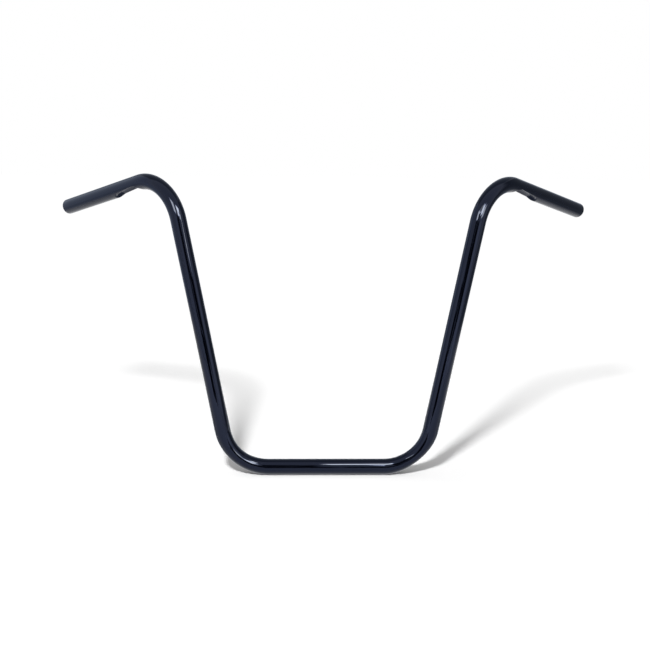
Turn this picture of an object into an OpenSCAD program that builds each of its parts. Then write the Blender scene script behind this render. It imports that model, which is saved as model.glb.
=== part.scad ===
// Ape hanger handlebar: one length of round steel tube, bent four times, with a pressed wiring
// trough under each grip section. The origin is the middle of the clamp section, +X runs along
// the clamp section, +Z up the plane of the two uprights, and the grips sweep back towards +Y.

/* [Tube] */
// Outside diameter of the tube
tube_d = 25.4; // [22:0.1:30]
// Thickness of the tube wall
wall = 2.4; // [1.6:0.1:3.6]
// Bevel on the outer edge of each cut end
end_bevel = 0.6; // [0.2:0.1:1.4]
// How much the tube's radius draws in where it is bent
draw_in = 0.05; // [0.02:0.01:0.3]

/* [Clamp section and lower bends] */
// Distance between the lower corners of the centre line
lower_corners = 314; // [240:1:400]
// Radius of the lower bends at the centre line
lower_bend_r = 77; // [50:1:100]

/* [Uprights and upper bends] */
// Distance between the upper corners of the centre line
upper_corners = 494; // [400:1:560]
// Height of the upper corners above the clamp section
rise = 472; // [300:1:560]
// Radius of the upper bends at the centre line
upper_bend_r = 67; // [50:1:90]

/* [Grip sections] */
// Distance between the centres of the two open ends
overall_width = 892; // [800:1:1000]
// How far the open ends lie behind the clamp section
pullback = 180; // [100:1:260]
// How far the open ends lie below the upper corners
grip_drop = 62; // [20:1:110]

/* [Wiring troughs] */
// Length of a trough from lip to lip, along the grip
trough_l = 66; // [44:1:80]
// How far a trough reaches back into the upper bend
trough_overlap = 5; // [0:1:10]
// Radius of the trough's round section
trough_r = 12; // [8:0.5:13]
// Depth that the trough is pressed in, at its middle
trough_depth = 10; // [4:0.5:11]
// Slope of the trough, deeper towards the bend
trough_slope = 3; // [0:0.5:4]
// Turn of the trough about the grip, from the inside of the bend towards the rear
trough_turn = -5; // [-30:1:30]

/* [Hidden] */
$fn = 96;
tube_r = tube_d / 2;
bore_r = tube_r - wall;
cut_past = 2;
// How far a bend runs on inside the straights on both sides of it
bend_lap = 0.5;

// Corners of the right half of the centre line
lower_corner = [lower_corners / 2, 0, 0];
upper_corner = [upper_corners / 2, 0, rise];
grip_end = [overall_width / 2, pullback, rise - grip_drop];

// Upright: its lean outwards, and the unit vectors along it and square to it
upright_run = upper_corner - lower_corner;
lean = atan2(upright_run.x, upright_run.z);
along_upright = [sin(lean), 0, cos(lean)];
out_of_upright = [cos(lean), 0, -sin(lean)];

// Bend angles, and the turn of the bend plane between the lower and the upper bend
grip_run = grip_end - upper_corner;
lower_angle = 90 - lean;
upper_angle = acos(grip_run * along_upright / norm(grip_run));
plane_turn = 180 + atan2(grip_run.y, grip_run * out_of_upright);

// Straight lengths left between the bends
lower_tangent = lower_bend_r * tan(lower_angle / 2);
upper_tangent = upper_bend_r * tan(upper_angle / 2);
clamp_l = lower_corners - 2 * lower_tangent;
upright_l = norm(upright_run) - lower_tangent - upper_tangent;
grip_l = norm(grip_run) - upper_tangent;

// Distance of the trough's round section from the tube's axis, and its round ends' overhang
trough_offset = tube_r - trough_depth + trough_r;
trough_overhang = sqrt(pow(trough_r, 2) - pow(trough_offset - tube_r, 2));

// A bend that starts at the origin along +Z and turns towards +X
module bend(r, bend_r, angle) {
    lap = bend_lap / bend_r * 180 / PI;
    translate([bend_r, 0, 0])
        rotate([90, 0, 0])
            rotate_extrude(angle = angle + 2 * lap, start = 180 - angle - lap)
                translate([bend_r, 0])
                    circle(r = r - draw_in);
}

// Moves what follows to the far end of such a bend
module after_bend(bend_r, angle) {
    translate([bend_r, 0, 0])
        rotate([0, angle, 0])
            translate([-bend_r, 0, 0])
                children();
}

// Right end of the clamp section, heading along +X with the next bend turning up
module at_lower_bend() {
    rotate([0, 90, 0])
        rotate([0, 0, 180])
            translate([0, 0, clamp_l / 2])
                children();
}

// Lower end of the right upright, heading up it
module at_upright() {
    at_lower_bend()
        after_bend(lower_bend_r, lower_angle)
            children();
}

// Upper end of the right upright, with the next bend turning towards the grip
module at_upper_bend() {
    at_upright()
        translate([0, 0, upright_l])
            rotate([0, 0, plane_turn])
                children();
}

// Inner end of the right grip section, heading to its open end, +X on the inside of the bend
module at_grip() {
    at_upper_bend()
        after_bend(upper_bend_r, upper_angle)
            children();
}

module both_sides() {
    children();
    mirror([1, 0, 0])
        children();
}

// A straight round bar whose far edge has a bevel
module bevelled_bar(r, l, bevel) {
    rotate_extrude()
        polygon([[0, 0], [r, 0], [r, l - bevel], [r - bevel, l], [0, l]]);
}

// The whole run of the bar as a solid of radius r, without its two last straights
module bent_run(r) {
    rotate([0, 90, 0])
        cylinder(r = r, h = clamp_l, center = true);
    both_sides() {
        at_lower_bend()
            bend(r, lower_bend_r, lower_angle);
        at_upright()
            cylinder(r = r, h = upright_l);
        at_upper_bend()
            bend(r, upper_bend_r, upper_angle);
    }
}

module outer_form() {
    bent_run(tube_r);
    both_sides()
        at_grip()
            bevelled_bar(tube_r, grip_l, end_bevel);
}

module inner_form() {
    bent_run(bore_r);
    both_sides()
        at_grip()
            cylinder(r = bore_r, h = grip_l + cut_past);
}

// The form that presses the trough in: a round bar with round ends, grown by the given amount
module trough_form(grow) {
    r = trough_r + grow;
    half = trough_l / 2 - trough_overhang;
    both_sides()
        at_grip()
            rotate([0, 0, trough_turn])
                translate([trough_offset, 0, trough_l / 2 - trough_overlap])
                    rotate([0, trough_slope, 0])
                        rotate_extrude()
                            intersection() {
                                union() {
                                    translate([0, -half])
                                        circle(r = r);
                                    translate([-r, -half])
                                        square([2 * r, 2 * half]);
                                    translate([0, half])
                                        circle(r = r);
                                }
                                translate([0, -half - r])
                                    square([r, 2 * (half + r)]);
                            }
}

module handlebar() {
    color([0.14, 0.16, 0.21])
        difference() {
            outer_form();
            trough_form(0);
            difference() {
                inner_form();
                trough_form(wall);
            }
        }
}

handlebar();
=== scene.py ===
# %% [markdown]
# Ape hanger handlebar. One round steel tube, bent four times, stands here on its clamp section in a
# plain white studio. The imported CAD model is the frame: it gives the bar's place and its outer box,
# and what is modelled below is the same tube with the finish and the soft forms of a real one.

# %% Load the frame
from math import pi, sqrt, tan

import bpy
from mathutils import Matrix, Vector


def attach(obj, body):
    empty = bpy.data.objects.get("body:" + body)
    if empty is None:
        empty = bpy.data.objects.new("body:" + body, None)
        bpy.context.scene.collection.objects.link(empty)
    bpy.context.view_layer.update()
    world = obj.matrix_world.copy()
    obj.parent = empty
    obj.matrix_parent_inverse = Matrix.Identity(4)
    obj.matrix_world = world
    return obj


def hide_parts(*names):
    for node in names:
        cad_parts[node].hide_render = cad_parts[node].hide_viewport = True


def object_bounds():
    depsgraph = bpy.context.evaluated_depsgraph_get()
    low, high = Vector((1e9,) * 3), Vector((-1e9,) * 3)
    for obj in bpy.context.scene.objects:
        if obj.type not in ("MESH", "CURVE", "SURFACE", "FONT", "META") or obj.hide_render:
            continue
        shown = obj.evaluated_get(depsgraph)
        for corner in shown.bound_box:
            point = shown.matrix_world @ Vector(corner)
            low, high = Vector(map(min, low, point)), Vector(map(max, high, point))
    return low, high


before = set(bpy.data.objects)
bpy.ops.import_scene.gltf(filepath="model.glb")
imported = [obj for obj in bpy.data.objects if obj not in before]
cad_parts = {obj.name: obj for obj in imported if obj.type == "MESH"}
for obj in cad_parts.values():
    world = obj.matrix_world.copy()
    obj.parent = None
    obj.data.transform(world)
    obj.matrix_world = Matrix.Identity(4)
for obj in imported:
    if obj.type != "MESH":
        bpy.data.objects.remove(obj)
cad_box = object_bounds()


def box_text(box):
    """The two corners of a box, rounded to a tenth of a millimetre."""
    return "from %s to %s" % tuple([round(x, 4) for x in corner] for corner in box)


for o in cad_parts.values():
    print("CAD node", o.name, box_text(cad_box))

# %% [markdown]
# The driving sizes are those of the CAD source, in metres. The bar is symmetric about X = 0, so only
# the right half is written down: the corners of its centre line, and the radius of each bend. The
# paint's surface lies a hair inside the CAD surface, so the painted bar never grows past its box.

# %% Sizes of the bar
tube_r = 0.0127
wall = 0.0024
skin_inset = 0.0001
lower_corner = Vector((0.157, 0, 0))
upper_corner = Vector((0.247, 0, 0.472))
open_end = Vector((0.446, 0.180, 0.410))
lower_bend_r = 0.077
upper_bend_r = 0.067

across = Vector((1, 0, 0))
up_leg = (upper_corner - lower_corner).normalized()
out_grip = (open_end - upper_corner).normalized()


def bend_at(corner, heading, next_heading, bend_r):
    """Start, centre, axis and angle of the bend that rounds this corner of the centre line."""
    angle = heading.angle(next_heading)
    start = corner - heading * bend_r * tan(angle / 2)
    inwards = (next_heading - heading * heading.dot(next_heading)).normalized()
    return {"start": start, "centre": start + inwards * bend_r, "inwards": inwards, "heading": heading,
            "axis": inwards.cross(heading), "angle": angle, "r": bend_r,
            "end": corner + next_heading * bend_r * tan(angle / 2)}


lower_bend = bend_at(lower_corner, across, up_leg, lower_bend_r)
upper_bend = bend_at(upper_corner, up_leg, out_grip, upper_bend_r)
grip_start = upper_bend["end"]
grip_l = (open_end - grip_start).length
print("clamp section %.4f m, upright %.4f m, grip section %.4f m" % (
    2 * lower_bend["start"].x, (upper_bend["start"] - lower_bend["end"]).length, grip_l))

# %% [markdown]
# Under each grip section, just outboard of the bend, the real tube is pressed in so that the switch
# wires can run beneath the grip. A press tool like a short round bar with round ends does it. These
# are the tool's sizes and its place, worked out from the grip section as the CAD source does, but
# with the tool tilted more, because the photographed trough is deepest next to the bend.

# %% Sizes of the wiring trough
trough_l = 0.066
trough_overlap = 0.005
trough_depth = 0.0112
tool_r = 0.0125
tool_slope = 0.15
tool_turn = -0.0873
lip_round = 0.0042

inside = (upper_bend["centre"] - grip_start).normalized()
tool_offset = tube_r - trough_depth + tool_r
tool_overhang = sqrt(tool_r ** 2 - (tool_offset - tube_r) ** 2)
tool_half = trough_l / 2 - tool_overhang
turned = Matrix.Rotation(tool_turn, 3, out_grip) @ inside
tool_centre = grip_start + out_grip * (trough_l / 2 - trough_overlap) + turned * tool_offset
tool_side = out_grip.cross(turned)
tool_axis = Matrix.Rotation(tool_slope, 3, tool_side) @ out_grip
tool_out = Matrix.Rotation(tool_slope, 3, tool_side) @ turned
print("trough from %.4f to %.4f m along the grip" % (-trough_overlap, trough_l - trough_overlap))

# %% [markdown]
# The tube is made as a bender makes it: a ring is drawn out along the clamp section, spun round the
# lower bend, drawn out up the leg, spun round the upper bend and drawn out along the grip. Extrude
# and Spin keep every ring truly round, which a bevelled curve wouldn't at such tight bends, and the
# rings are set close together only where the trough will be pressed. Each skin gets its material's
# name now, so that its faces still know which skin they came from once the two are joined.

# %% Draw out one skin of the tube
ring_points = 96
clamp_steps = 6
lower_steps = 44
leg_steps = 12
upper_steps = 72
trough_step = 0.00075
grip_steps = 6


def draw_along(distance, heading, steps=1):
    """Extrudes the selected ring along a straight."""
    for _ in range(steps):
        bpy.ops.mesh.extrude_region_move(TRANSFORM_OT_translate={"value": heading * (distance / steps)})


def draw_round(bend, steps):
    """Spins the selected ring round a bend."""
    bpy.ops.mesh.spin(steps=steps, angle=bend["angle"], center=bend["centre"], axis=bend["axis"])


def draw_half(name, radius, finish):
    """The right half of one skin of the tube, open at both ends, with its finish still to be made."""
    bpy.ops.object.select_all(action="DESELECT")
    bpy.ops.mesh.primitive_circle_add(
        vertices=ring_points, radius=radius, fill_type="NOTHING", rotation=(0, pi / 2, 0))
    skin = bpy.context.object
    skin.name = name
    skin.data.materials.append(bpy.data.materials.new(finish))
    bpy.ops.object.transform_apply(location=True, rotation=True, scale=True)
    bpy.ops.object.mode_set(mode="EDIT")
    bpy.ops.mesh.select_all(action="SELECT")
    draw_along(lower_bend["start"].x, across, clamp_steps)
    draw_round(lower_bend, lower_steps)
    draw_along((upper_bend["start"] - lower_bend["end"]).length, up_leg, leg_steps)
    draw_round(upper_bend, upper_steps)
    trough_run = trough_l - trough_overlap + lip_round
    draw_along(trough_run, out_grip, round(trough_run / trough_step))
    draw_along(grip_l - trough_run, out_grip, grip_steps)
    bpy.ops.object.mode_set(mode="OBJECT")
    print(name, len(skin.data.vertices), "points in the right half")
    return skin


outer = draw_half("handlebar_tube", tube_r - skin_inset, "gloss_black_paint")
inner = draw_half("bore_skin", tube_r - wall, "bare_bore_steel")

# %% [markdown]
# No mesh operator presses one form into another with a rolled lip, so this one step moves the
# points in code. Each point of the tube is pushed in, along the tool's own stroke, to the tool's
# surface. Where tube and tool meet, the two heights are blended over a few millimetres, which gives
# the soft lip that sheet metal takes when it is pressed. Beside the tool its height is taken to rise
# as a steep shoulder, so that the blend has a surface to fade into. The stroke has a limit both ways,
# which keeps the far wall of the tube and the leg below out of it.

# %% Press the troughs in
shoulder_rise = 2
least_push = 1e-7


def blended_low(a, b, width):
    """The lower of two heights, with a round blend where they cross."""
    near = max(width - abs(a - b), 0) / width
    return min(a, b) - near * near * width / 4


def press_trough(skin, form_r, lip):
    """Pushes one skin's points to the press tool's surface and counts them."""
    moved = 0
    for v in skin.data.vertices:
        p = v.co - tool_centre
        past_end = max(abs(p.dot(tool_axis)) - tool_half, 0)
        reach = sqrt(p.dot(tool_side) ** 2 + past_end ** 2)
        form = -sqrt(form_r ** 2 - reach ** 2) if reach < form_r else shoulder_rise * (reach - form_r)
        height = p.dot(tool_out)
        pressed = blended_low(height, form, lip)
        in_stroke = -2 * tool_offset < height < form_r and reach < 2 * form_r
        if in_stroke and height - pressed > least_push:
            v.co += tool_out * (pressed - height)
            moved += 1
    print(skin.name, moved, "points pressed")


press_trough(outer, tool_r, lip_round)
press_trough(inner, tool_r + wall, lip_round / 2)

# %% [markdown]
# Both halves come from one model: the Mirror modifier copies the right half and welds the two at
# the middle of the clamp section. The bore's skin joins the outer skin, and Bridge Edge Loops is
# meant to close the wall between their two rims with a plain ring. It doesn't, and this fault was
# found too late to mend: it joins points of the two rims that lie far apart, so its faces cross the
# mouth of the bore and hide it, and the bore's faces point away from the axis, not towards it.

# %% Mirror, join and close the wall
near = 1e-5


def deselect_parts(obj):
    """Makes one object the active one, with none of its points, edges and faces selected."""
    bpy.ops.object.select_all(action="DESELECT")
    bpy.context.view_layer.objects.active = obj
    obj.select_set(True)
    bpy.ops.object.mode_set(mode="EDIT")
    bpy.ops.mesh.select_mode(type="EDGE")
    bpy.ops.mesh.select_all(action="DESELECT")
    bpy.ops.object.mode_set(mode="OBJECT")


def select_edges(obj, test):
    """Selects the edges whose two ends both pass the test, and leaves edit mode open."""
    deselect_parts(obj)
    points = obj.data.vertices
    found = [e for e in obj.data.edges if test(points[e.vertices[0]].co) and test(points[e.vertices[1]].co)]
    for e in found:
        e.select = True
    bpy.ops.object.mode_set(mode="EDIT")
    return len(found)


for skin in (outer, inner):
    bpy.ops.object.select_all(action="DESELECT")
    bpy.context.view_layer.objects.active = skin
    skin.select_set(True)
    bpy.ops.object.modifier_add(type="MIRROR")
    skin.modifiers[-1].merge_threshold = near
    bpy.ops.object.modifier_apply(modifier=skin.modifiers[-1].name)

bpy.ops.object.select_all(action="DESELECT")
inner.select_set(True)
outer.select_set(True)
bpy.context.view_layer.objects.active = outer
bpy.ops.object.join()
bar = outer


def mirrored(v, side):
    """The point as seen from the right half, for the right side (1) or the left side (-1)."""
    return Vector((v.x * side, v.y, v.z))


def at_end(side):
    """A test for points in the plane of one open end."""
    return lambda p: p.x * side > 0 and abs((mirrored(p, side) - open_end).dot(out_grip)) < near


for side in (1, -1):
    count = select_edges(bar, at_end(side))
    bpy.ops.mesh.bridge_edge_loops()
    bpy.ops.object.mode_set(mode="OBJECT")
    print("open end", side, "closed between", count, "rim edges")

deselect_parts(bar)
bpy.ops.object.mode_set(mode="EDIT")
bpy.ops.mesh.select_all(action="SELECT")
bpy.ops.mesh.remove_doubles(threshold=near)
bpy.ops.mesh.normals_make_consistent(inside=False)
bpy.ops.object.mode_set(mode="OBJECT")

# %% [markdown]
# A sawn tube is deburred before it is painted, so the outer rim of each end is rounded off by
# nearly two millimetres and the bore's rim by much less. Bevel on the two rim loops gives both.

# %% Round the rims
rims = [
    # radius, rounding, segments
    (tube_r - skin_inset, 0.0019, 7),
    (tube_r - wall, 0.0004, 2),
]


def on_rim(side, radius):
    """A test for points of one end's rim circle of that radius."""
    def test(p):
        q = mirrored(p, side) - open_end
        along = q.dot(out_grip)
        from_axis = (q - out_grip * along).length
        return p.x * side > 0 and abs(along) < near and abs(from_axis - radius) < 2 * near
    return test


for side in (1, -1):
    for radius, rounding, segments in rims:
        count = select_edges(bar, on_rim(side, radius))
        bpy.ops.mesh.bevel(offset=rounding, offset_type="OFFSET", segments=segments, affect="EDGES")
        bpy.ops.object.mode_set(mode="OBJECT")
        print("rim of radius %.4f rounded on %d edges" % (radius, count))

# %% [markdown]
# A tube loses a little of its roundness where it is bent, because a wall is pulled in towards the
# centre line. The two halves of the photographed bar were bent by hand and differ: the right lower
# bend is flat on its outside, and the left bends are a little flat on their inside. So the shares
# below are given for each bend and side, for its outer and its inner wall.

# %% Flatten the bends a little
flat_walls = {
    ("lower", 1): {"outer": 0.22, "inner": 0.00},
    ("lower", -1): {"outer": 0.02, "inner": 0.14},
    ("upper", 1): {"outer": 0.08, "inner": 0.02},
    ("upper", -1): {"outer": 0.01, "inner": 0.11},
}
flat_start = 0.5
bend_reach = 1.2 * tube_r
smooth_below = 0.7


def eased(t):
    """Smooth step from 0 to 1."""
    t = min(max(t, 0), 1)
    return t * t * (3 - 2 * t)


def flatten_bend(obj, bend, side, shares):
    """Draws one bend's walls towards its centre line, within the plane of the bend."""
    count = 0
    for v in obj.data.vertices:
        p = mirrored(v.co, side) - bend["centre"]
        off_plane = p.dot(bend["axis"])
        flat = p - bend["axis"] * off_plane
        past_line = flat.length - bend["r"]
        if v.co.x * side <= 0 or abs(off_plane) > 2 * tube_r or abs(past_line) > bend_reach:
            continue
        if flat.dot(bend["heading"]) <= 0:
            continue
        turn = flat.angle(-bend["inwards"]) / bend["angle"]
        share = shares["outer" if past_line > 0 else "inner"] * eased(min(turn, 1 - turn) / flat_start)
        moved = flat.normalized() * (-past_line * share)
        v.co += Vector((moved.x * side, moved.y, moved.z))
        count += share > 0
    return count


for (which, side), shares in flat_walls.items():
    bend = lower_bend if which == "lower" else upper_bend
    print(which, "bend", side, flatten_bend(bar, bend, side, shares), "points drawn in")

bpy.ops.object.select_all(action="DESELECT")
bar.select_set(True)
bpy.context.view_layer.objects.active = bar
bpy.ops.object.shade_smooth_by_angle(angle=smooth_below)
print(bar.name, len(bar.data.polygons), "faces")

# %% [markdown]
# The spray reaches the sawn ends and stops just inside them, so the faces that close the wall take
# the paint, whichever skin the bevel or the bridge made them from.

# %% Give the open ends their paint
end_depth = 0.0021
facing_out = 0.2
painted = 0
for face in bar.data.polygons:
    side = 1 if face.center.x > 0 else -1
    past = mirrored(face.center, side) - open_end
    along = past.dot(out_grip)
    if abs(along) < end_depth and abs(mirrored(face.normal, side).dot(out_grip)) > facing_out:
        face.material_index = 0
        painted += 1
print(painted, "faces of the open ends painted, slots", [m.name for m in bar.data.materials])

# %% [markdown]
# Two finishes meet on this one piece: gloss black paint outside, and bare tube steel inside the
# bore, where the spray hardly reaches. Both gather a little dust, so the dust is a node group that
# is built once and placed in each material. It puts out only a mask, thicker where a face looks up.

# %% Dust, shared by both finishes


def node(tree, kind, **values):
    """Adds a shader node and sets its inputs by name and its own properties."""
    n = tree.nodes.new(kind)
    for key, value in values.items():
        socket = n.inputs.get(key.replace("_", " ").title())
        if socket is not None and not hasattr(n, key):
            socket.default_value = value
        else:
            setattr(n, key, value)
    return n


def ranged(tree, value, low, high, from_low=0.0, from_high=1.0):
    """Maps a mask to a range of values."""
    n = tree.nodes.new("ShaderNodeMapRange")
    n.inputs["From Min"].default_value = from_low
    n.inputs["From Max"].default_value = from_high
    n.inputs["To Min"].default_value = low
    n.inputs["To Max"].default_value = high
    tree.links.new(value, n.inputs["Value"])
    return n.outputs["Result"]


def calc(tree, operation, a, b):
    """One math node on two numbers or outputs."""
    n = node(tree, "ShaderNodeMath", operation=operation)
    for socket, value in zip(n.inputs, (a, b)):
        if isinstance(value, (int, float)):
            socket.default_value = value
        else:
            tree.links.new(value, socket)
    return n.outputs["Value"]


def dust_group():
    """A node group with one output, the dust's mask."""
    g = bpy.data.node_groups.new("settled_dust", "ShaderNodeTree")
    g.interface.new_socket("Vector", in_out="INPUT", socket_type="NodeSocketVector")
    g.interface.new_socket("Amount", in_out="INPUT", socket_type="NodeSocketFloat")
    g.interface.new_socket("Mask", in_out="OUTPUT", socket_type="NodeSocketFloat")
    came_in = g.nodes.new("NodeGroupInput")
    went_out = g.nodes.new("NodeGroupOutput")
    specks = node(g, "ShaderNodeTexNoise", Scale=900.0, Detail=2.0, Roughness=0.6)
    drifts = node(g, "ShaderNodeTexNoise", Scale=22.0, Detail=3.0, Roughness=0.55)
    for n in (specks, drifts):
        g.links.new(came_in.outputs["Vector"], n.inputs["Vector"])
    way_up = node(g, "ShaderNodeSeparateXYZ")
    g.links.new(node(g, "ShaderNodeNewGeometry").outputs["Normal"], way_up.inputs["Vector"])
    speckled = ranged(g, specks.outputs["Fac"], low=0.0, high=1.0, from_low=0.66, from_high=0.78)
    settled = ranged(g, way_up.outputs["Z"], low=0.12, high=1.0, from_low=-0.2, from_high=1.0)
    where = calc(g, "MULTIPLY", calc(g, "MULTIPLY", speckled, drifts.outputs["Fac"]), settled)
    mask = calc(g, "MULTIPLY", where, came_in.outputs["Amount"])
    mask.node.use_clamp = True
    g.links.new(mask, went_out.inputs["Mask"])
    return g


settled_dust = dust_group()
print("node group", settled_dust.name, "with", len(settled_dust.nodes), "nodes")

# %% [markdown]
# The paint is a blue-black gloss, nearly black by itself, so what one sees of it is what it mirrors.
# Its mirror is tinted blue where it is looked at square on, and that blue tint is painted light: a
# reflection colour that stands in for the bluish light of the room. Sprayed gloss isn't a perfect
# mirror. It has orange peel, a ripple two or three millimetres long and a few microns deep, and its
# gloss is a little uneven where it was wiped.

# %% Gloss black paint
paint_dark = (0.0003, 0.0004, 0.0011, 1)
paint_light = (0.0006, 0.0008, 0.0020, 1)
dust_colour = (0.30, 0.29, 0.27, 1)
# Painted reflection colour: the blue tint of the mirror, standing in for the bluish light of the room
painted_blue_reflection = (0.42, 0.51, 0.86, 1)


def new_material(name):
    """The material of that name, made if it is new, with only its shader and its output."""
    m = bpy.data.materials.get(name) or bpy.data.materials.new(name)
    m.use_nodes = True
    return m, m.node_tree, m.node_tree.nodes["Principled BSDF"]


def colour_mix(tree, factor, a, b):
    """Mixes two colours, or a colour and a colour output, by a mask."""
    n = tree.nodes.new("ShaderNodeMix")
    n.data_type = "RGBA"
    a_in = [s for s in n.inputs if s.name == "A" and s.type == "RGBA"][0]
    b_in = [s for s in n.inputs if s.name == "B" and s.type == "RGBA"][0]
    for socket, value in ((a_in, a), (b_in, b)):
        if isinstance(value, tuple):
            socket.default_value = value
        else:
            tree.links.new(value, socket)
    tree.links.new(factor, n.inputs["Factor"])
    return [s for s in n.outputs if s.type == "RGBA"][0]


def paint():
    """The gloss black, with its clouds, wipe marks, orange peel and dust."""
    m, t, shader = new_material("gloss_black_paint")
    where = t.nodes.new("ShaderNodeTexCoord").outputs["Object"]
    clouds = node(t, "ShaderNodeTexNoise", Scale=14.0, Detail=3.0, Roughness=0.5)
    wipes = node(t, "ShaderNodeTexNoise", Scale=60.0, Detail=4.0, Roughness=0.6, Distortion=0.8)
    peel = node(t, "ShaderNodeTexNoise", Scale=330.0, Detail=1.5, Roughness=0.45)
    for n in (clouds, wipes, peel):
        t.links.new(where, n.inputs["Vector"])
    dust = t.nodes.new("ShaderNodeGroup")
    dust.node_tree = settled_dust
    dust.inputs["Amount"].default_value = 0.03
    t.links.new(where, dust.inputs["Vector"])
    body = colour_mix(t, clouds.outputs["Fac"], paint_dark, paint_light)
    t.links.new(colour_mix(t, dust.outputs["Mask"], body, dust_colour), shader.inputs["Base Color"])
    gloss = ranged(t, wipes.outputs["Fac"], low=0.035, high=0.085, from_low=0.35, from_high=0.75)
    t.links.new(calc(t, "ADD", gloss, dust.outputs["Mask"]), shader.inputs["Roughness"])
    bump = node(t, "ShaderNodeBump", Strength=1.0, Distance=0.000012)
    t.links.new(peel.outputs["Fac"], bump.inputs["Height"])
    t.links.new(bump.outputs["Normal"], shader.inputs["Normal"])
    shader.inputs["IOR"].default_value = 1.5
    # The blue tint of the mirror is painted light, standing in for the bluish light of the room
    shader.inputs["Specular Tint"].default_value = painted_blue_reflection
    return m


black_paint = paint()
print("material", black_paint.name)

# %% [markdown]
# Inside the bore the tube is as it left the mill: dull grey-brown steel with a fine grain, darkened
# by overspray over the last centimetre before each mouth. The overspray follows the distance from
# the middle plane, |x| in Object coordinates, because the bore runs outwards there.

# %% Bare steel of the bore
steel_dark = (0.045, 0.042, 0.040, 1)
steel_light = (0.115, 0.105, 0.098, 1)
overspray = (0.006, 0.007, 0.011, 1)
overspray_from = open_end.x - 0.014
overspray_full = open_end.x - 0.003


def steel():
    """The bare steel of the bore, with its grain, its dust and the overspray near the mouths."""
    m, t, shader = new_material("bare_bore_steel")
    where = t.nodes.new("ShaderNodeTexCoord").outputs["Object"]
    scale = node(t, "ShaderNodeTexNoise", Scale=260.0, Detail=5.0, Roughness=0.65)
    t.links.new(where, scale.inputs["Vector"])
    dust = t.nodes.new("ShaderNodeGroup")
    dust.node_tree = settled_dust
    dust.inputs["Amount"].default_value = 0.5
    t.links.new(where, dust.inputs["Vector"])
    place = t.nodes.new("ShaderNodeSeparateXYZ")
    t.links.new(where, place.inputs["Vector"])
    from_middle = node(t, "ShaderNodeMath", operation="ABSOLUTE")
    t.links.new(place.outputs["X"], from_middle.inputs[0])
    sprayed = ranged(t, from_middle.outputs["Value"], low=0.0, high=1.0,
                     from_low=overspray_from, from_high=overspray_full)
    body = colour_mix(t, scale.outputs["Fac"], steel_dark, steel_light)
    dusty = colour_mix(t, dust.outputs["Mask"], body, dust_colour)
    t.links.new(colour_mix(t, sprayed, dusty, overspray), shader.inputs["Base Color"])
    t.links.new(ranged(t, sprayed, low=0.7, high=0.0), shader.inputs["Metallic"])
    t.links.new(ranged(t, scale.outputs["Fac"], low=0.38, high=0.62), shader.inputs["Roughness"])
    bump = node(t, "ShaderNodeBump", Strength=0.6, Distance=0.00005)
    t.links.new(scale.outputs["Fac"], bump.inputs["Height"])
    t.links.new(bump.outputs["Normal"], shader.inputs["Normal"])
    return m


bore_steel = steel()
print("material", bore_steel.name)

# %% [markdown]
# The finished bar now takes the place of the plain CAD node. It rides on the part's one body, and it
# fills the slot that the part's record names for its paint.

# %% Place the bar on the frame
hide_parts("handlebar")
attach(bar, "root")
print(bar.name, "takes the place of the CAD node and rides on the part's root")

# %% [markdown]
# The studio is a white one with one small key lamp, to the left of the camera and above it. Its
# place comes from the shadow that it casts back across the floor. The world is white to the camera
# and to anything that mirrors it, and dimmer as a light, so that the shadow can be seen.

# %% Key lamp and world
floor_z = cad_box[0].z
world_light = 0.42
key_place = Vector((-0.43, -1.46, 1.56))
key_target = Vector((0, 0.1, 0.2))
key_size = 0.25
key_power = 50.0


def facing(place, target):
    """The turn that points an object's -Z from its place towards a target, with Y upwards."""
    return (Vector(target) - Vector(place)).to_track_quat("-Z", "Y").to_euler()


key_data = bpy.data.lights.new("key_lamp", "AREA")
key_data.shape = "DISK"
key_data.size = key_size
key_data.energy = key_power
key = bpy.data.objects.new("key_lamp", key_data)
bpy.context.scene.collection.objects.link(key)
key.location = key_place
key.rotation_euler = facing(key_place, key_target)
key.visible_glossy = False


def seen_or_mirrored(tree):
    """A mask that is 1 for camera, mirror and glass rays, and 0 for the rays that light things."""
    path = tree.nodes.new("ShaderNodeLightPath")
    mask = calc(tree, "ADD", path.outputs["Is Camera Ray"], path.outputs["Is Glossy Ray"])
    mask = calc(tree, "ADD", mask, path.outputs["Is Transmission Ray"])
    mask.node.use_clamp = True
    return mask


world = bpy.data.worlds.new("white_studio")
bpy.context.scene.world = world
world.use_nodes = True
wt = world.node_tree
sky = wt.nodes["Background"]
sky.inputs["Color"].default_value = (1, 1, 1, 1)
wt.links.new(ranged(wt, seen_or_mirrored(wt), low=world_light, high=1.0), sky.inputs["Strength"])
print("lamp of %.0f W, %.2f m from the bar" % (key_power, (key_place - key_target).length))

# %% [markdown]
# The floor is a pale plane under the clamp section. One lamp can't light it evenly, and the
# photographed floor is white all over, so it glows for the camera and the mirror by just what the
# light leaves short of white at each place. That light is worked out by the lamp's own law: power
# over pi squared, times the two cosines, over the square of the distance. The shadow stays, because
# the glow doesn't know about it.

# %% White floor that keeps its shadow
floor_size = 60
floor_pale = 0.90
floor_white = 1.03


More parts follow.
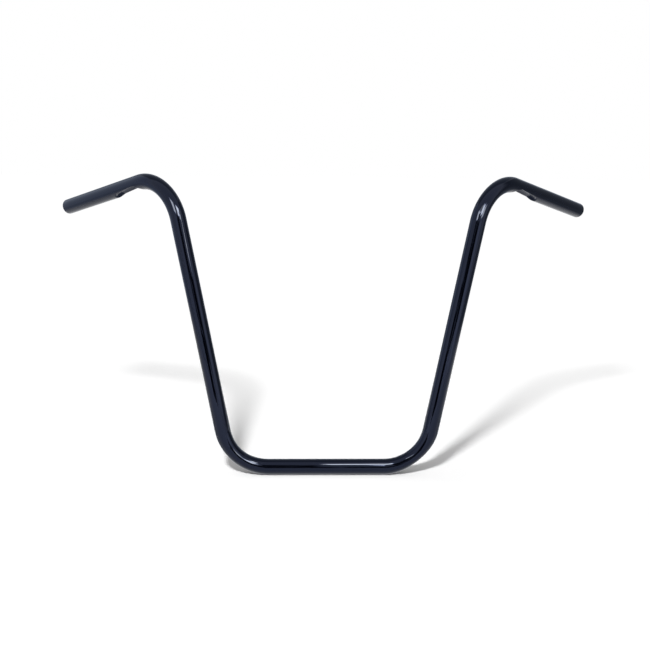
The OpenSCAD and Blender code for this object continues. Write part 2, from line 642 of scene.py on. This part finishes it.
def white_floor():
    """The floor's material: pale to the light, and glowing by what the light leaves short of white."""
    m, t, shader = new_material("white_floor")
    shader.inputs["Base Color"].default_value = (floor_pale, floor_pale, floor_pale, 1)
    shader.inputs["Roughness"].default_value = 0.9
    shader.inputs["Specular IOR Level"].default_value = 0.0
    shader.inputs["Emission Color"].default_value = (1, 1, 1, 1)
    lamp_here = key_place - Vector((0, 0, floor_z))
    from_lamp = node(t, "ShaderNodeVectorMath", operation="SUBTRACT")
    from_lamp.inputs[1].default_value = lamp_here
    t.links.new(t.nodes.new("ShaderNodeTexCoord").outputs["Object"], from_lamp.inputs[0])
    length = node(t, "ShaderNodeVectorMath", operation="LENGTH")
    ahead = node(t, "ShaderNodeVectorMath", operation="DOT_PRODUCT")
    ahead.inputs[1].default_value = (key_target - key_place).normalized()
    for n in (length, ahead):
        t.links.new(from_lamp.outputs["Vector"], n.inputs[0])
    fall_off = calc(t, "POWER", length.outputs["Value"], -4.0)
    lamp_gain = floor_pale * key_power / pi ** 2 * lamp_here.z
    lit = calc(t, "MULTIPLY", calc(t, "MULTIPLY", ahead.outputs["Value"], fall_off), lamp_gain)
    short_of_white = calc(t, "SUBTRACT", floor_white - floor_pale * world_light, lit)
    glow = calc(t, "MAXIMUM", short_of_white, 0.0)
    t.links.new(calc(t, "MULTIPLY", glow, seen_or_mirrored(t)), shader.inputs["Emission Strength"])
    return m


bpy.ops.object.select_all(action="DESELECT")
bpy.ops.mesh.primitive_plane_add(size=floor_size, location=(0, 0, floor_z))
floor = bpy.context.object
floor.name = "floor"
floor.data.materials.append(white_floor())
print("floor at z = %.4f" % floor_z)

# %% [markdown]
# Gloss black shows what stands round it, so a photographer builds the picture from cards. The
# photographed paint mirrors the dark side of the room behind the camera, as a black line down each
# leg, with a bright strip beside it, soft lamps above the dark to both sides, one lamp above the
# front, and dim walls behind. Not every bend of it mirrors every lamp, so the two screens and the
# dark gap stand near the bar, where each hides a lamp from one bend only. Each card fades to the
# white of the room at its edges, so that no hard edge runs across a bend. These cards are seen by
# the mirror only: no camera, light or shadow knows of them.

# %% Cards for the mirror
dim_wall = (0.46, 0.52, 0.62)
warm_white = (1.0, 0.90, 0.64)
soft_edge_from = 0.36
cards = {
    # name: place, size, target, colour, strength
    "dark_side": ((-0.05, -1.40, 0.19), (2.00, 0.46), (-0.05, 0, 0.19), (0, 0, 0), 0.0),
    "dark_column": ((-0.115, -1.38, 0.62), (0.30, 1.10), (-0.115, 0, 0.62), (0, 0, 0), 0.0),
    "dark_foot": ((-0.10, -0.56, 0.07), (0.34, 0.19), (0.0, -0.25, 0.07), (0, 0, 0), 0.0),
    "dark_gap": ((-0.12, -0.60, 0.36), (0.18, 0.28), (0.157, 0, 0.02), (0, 0, 0), 0.0),
    "right_screen": ((0.175, -0.30, 0.60), (0.13, 0.11), (0.24, 0, 0.45), warm_white, 5.0),
    "left_screen": ((-0.05, -0.30, 0.37), (0.12, 0.18), (-0.157, 0, 0.02), (1, 1, 1), 1.0),
    "left_strip": ((-0.43, -0.48, 0.23), (0.32, 0.44), (-0.1, 0, 0.23), (1, 1, 1), 1.3),
    "right_strip": ((0.42, -0.41, 0.20), (0.28, 0.42), (0.05, 0, 0.20), (1, 1, 1), 1.7),
    "left_lamp": ((-0.42, -1.08, 0.84), (0.42, 0.60), (0, 0, 0.42), warm_white, 19.0),
    "right_lamp_high": ((0.50, -1.50, 0.98), (0.56, 0.62), (0, 0, 0.42), warm_white, 31.0),
    "right_lamp_low": ((1.02, -1.50, 0.69), (0.66, 0.62), (0, 0, 0.42), warm_white, 15.0),
    "right_lamp_end": ((1.48, -1.50, 0.54), (0.40, 0.30), (0, 0, 0.42), warm_white, 4.0),
    "front_lamp": ((0.14, -0.60, 0.74), (0.34, 0.22), (0.08, 0, 0), warm_white, 33.0),
    "back_wall": ((0, 1.8, 0.9), (5.2, 2.9), (0, 0, 0.9), dim_wall, 0.8),
    "left_wall": ((-1.8, 0.9, 0.9), (2.7, 2.9), (0, 0.9, 0.9), dim_wall, 1.6),
    "right_wall": ((1.8, 0.9, 0.9), (2.7, 2.9), (0, 0.9, 0.9), dim_wall, 0.46),
    "roof": ((0, 0.9, 2.1), (4.0, 2.2), (0, 0.9, 0), dim_wall, 0.65),
    "shaded_floor": ((0, 0.29, floor_z + 0.0005), (0.90, 0.62), (0, 0.29, -1), dim_wall, 0.85),
    "left_floor": ((-1.75, 0.7, floor_z + 0.0005), (1.90, 2.6), (-1.75, 0.7, -1), dim_wall, 1.3),
    "right_floor": ((1.68, 0.7, floor_z + 0.0005), (1.90, 2.6), (1.68, 0.7, -1), dim_wall, 0.55),
}


def card(name, place, size, target, colour, strength):
    """A flat card that only mirrors see, with edges that fade to the white of the room."""
    bpy.ops.object.select_all(action="DESELECT")
    bpy.ops.mesh.primitive_plane_add(size=1, location=place, rotation=facing(place, target))
    c = bpy.context.object
    c.name = name
    c.scale = (size[0], size[1], 1)
    m, t, shader = new_material(name)
    t.nodes.remove(shader)
    across_card = node(t, "ShaderNodeSeparateXYZ")
    t.links.new(t.nodes.new("ShaderNodeTexCoord").outputs["Object"], across_card.inputs["Vector"])
    from_side = calc(t, "ABSOLUTE", across_card.outputs["X"], 0)
    from_top = calc(t, "ABSOLUTE", across_card.outputs["Y"], 0)
    from_middle = calc(t, "MAXIMUM", from_side, from_top)
    edge = ranged(t, from_middle, low=0.0, high=1.0, from_low=soft_edge_from, from_high=0.5)
    glow = t.nodes.new("ShaderNodeEmission")
    t.links.new(colour_mix(t, edge, (*colour, 1), (1, 1, 1, 1)), glow.inputs["Color"])
    t.links.new(ranged(t, edge, low=strength, high=1.0), glow.inputs["Strength"])
    t.links.new(glow.outputs["Emission"], t.nodes["Material Output"].inputs["Surface"])
    c.data.materials.append(m)
    c.visible_camera = False
    c.visible_diffuse = False
    c.visible_transmission = False
    c.visible_shadow = False


for name, what in cards.items():
    card(name, *what)
print(len(cards), "cards")

# %% [markdown]
# The camera stands where the photograph was taken from: 1.4 m in front of the bar and half a metre
# up, a little left of the middle, with a normal lens. Its place comes from matching the bar's
# corners in the picture.

# %% Camera
eye = Vector((-0.0498, -1.4067, 0.4884))
look = Vector((0.03152, 0.9837, -0.17704)).normalized()
head_up = Vector((-0.00339, 0.17723, 0.98416))
focal_px = 900
image_px = 650

to_right = look.cross(head_up).normalized()
head_up = to_right.cross(look)
cam_data = bpy.data.cameras.new("camera")
cam_data.sensor_width = 36
cam_data.lens = focal_px / image_px * cam_data.sensor_width
cam = bpy.data.objects.new("camera", cam_data)
bpy.context.scene.collection.objects.link(cam)
cam.matrix_world = Matrix((
    (to_right.x, head_up.x, -look.x, eye.x),
    (to_right.y, head_up.y, -look.y, eye.y),
    (to_right.z, head_up.z, -look.z, eye.z),
    (0, 0, 0, 1)))
bpy.context.scene.camera = cam
bpy.context.scene.view_settings.view_transform = "Standard"
print("camera lens %.2f mm" % cam_data.lens)
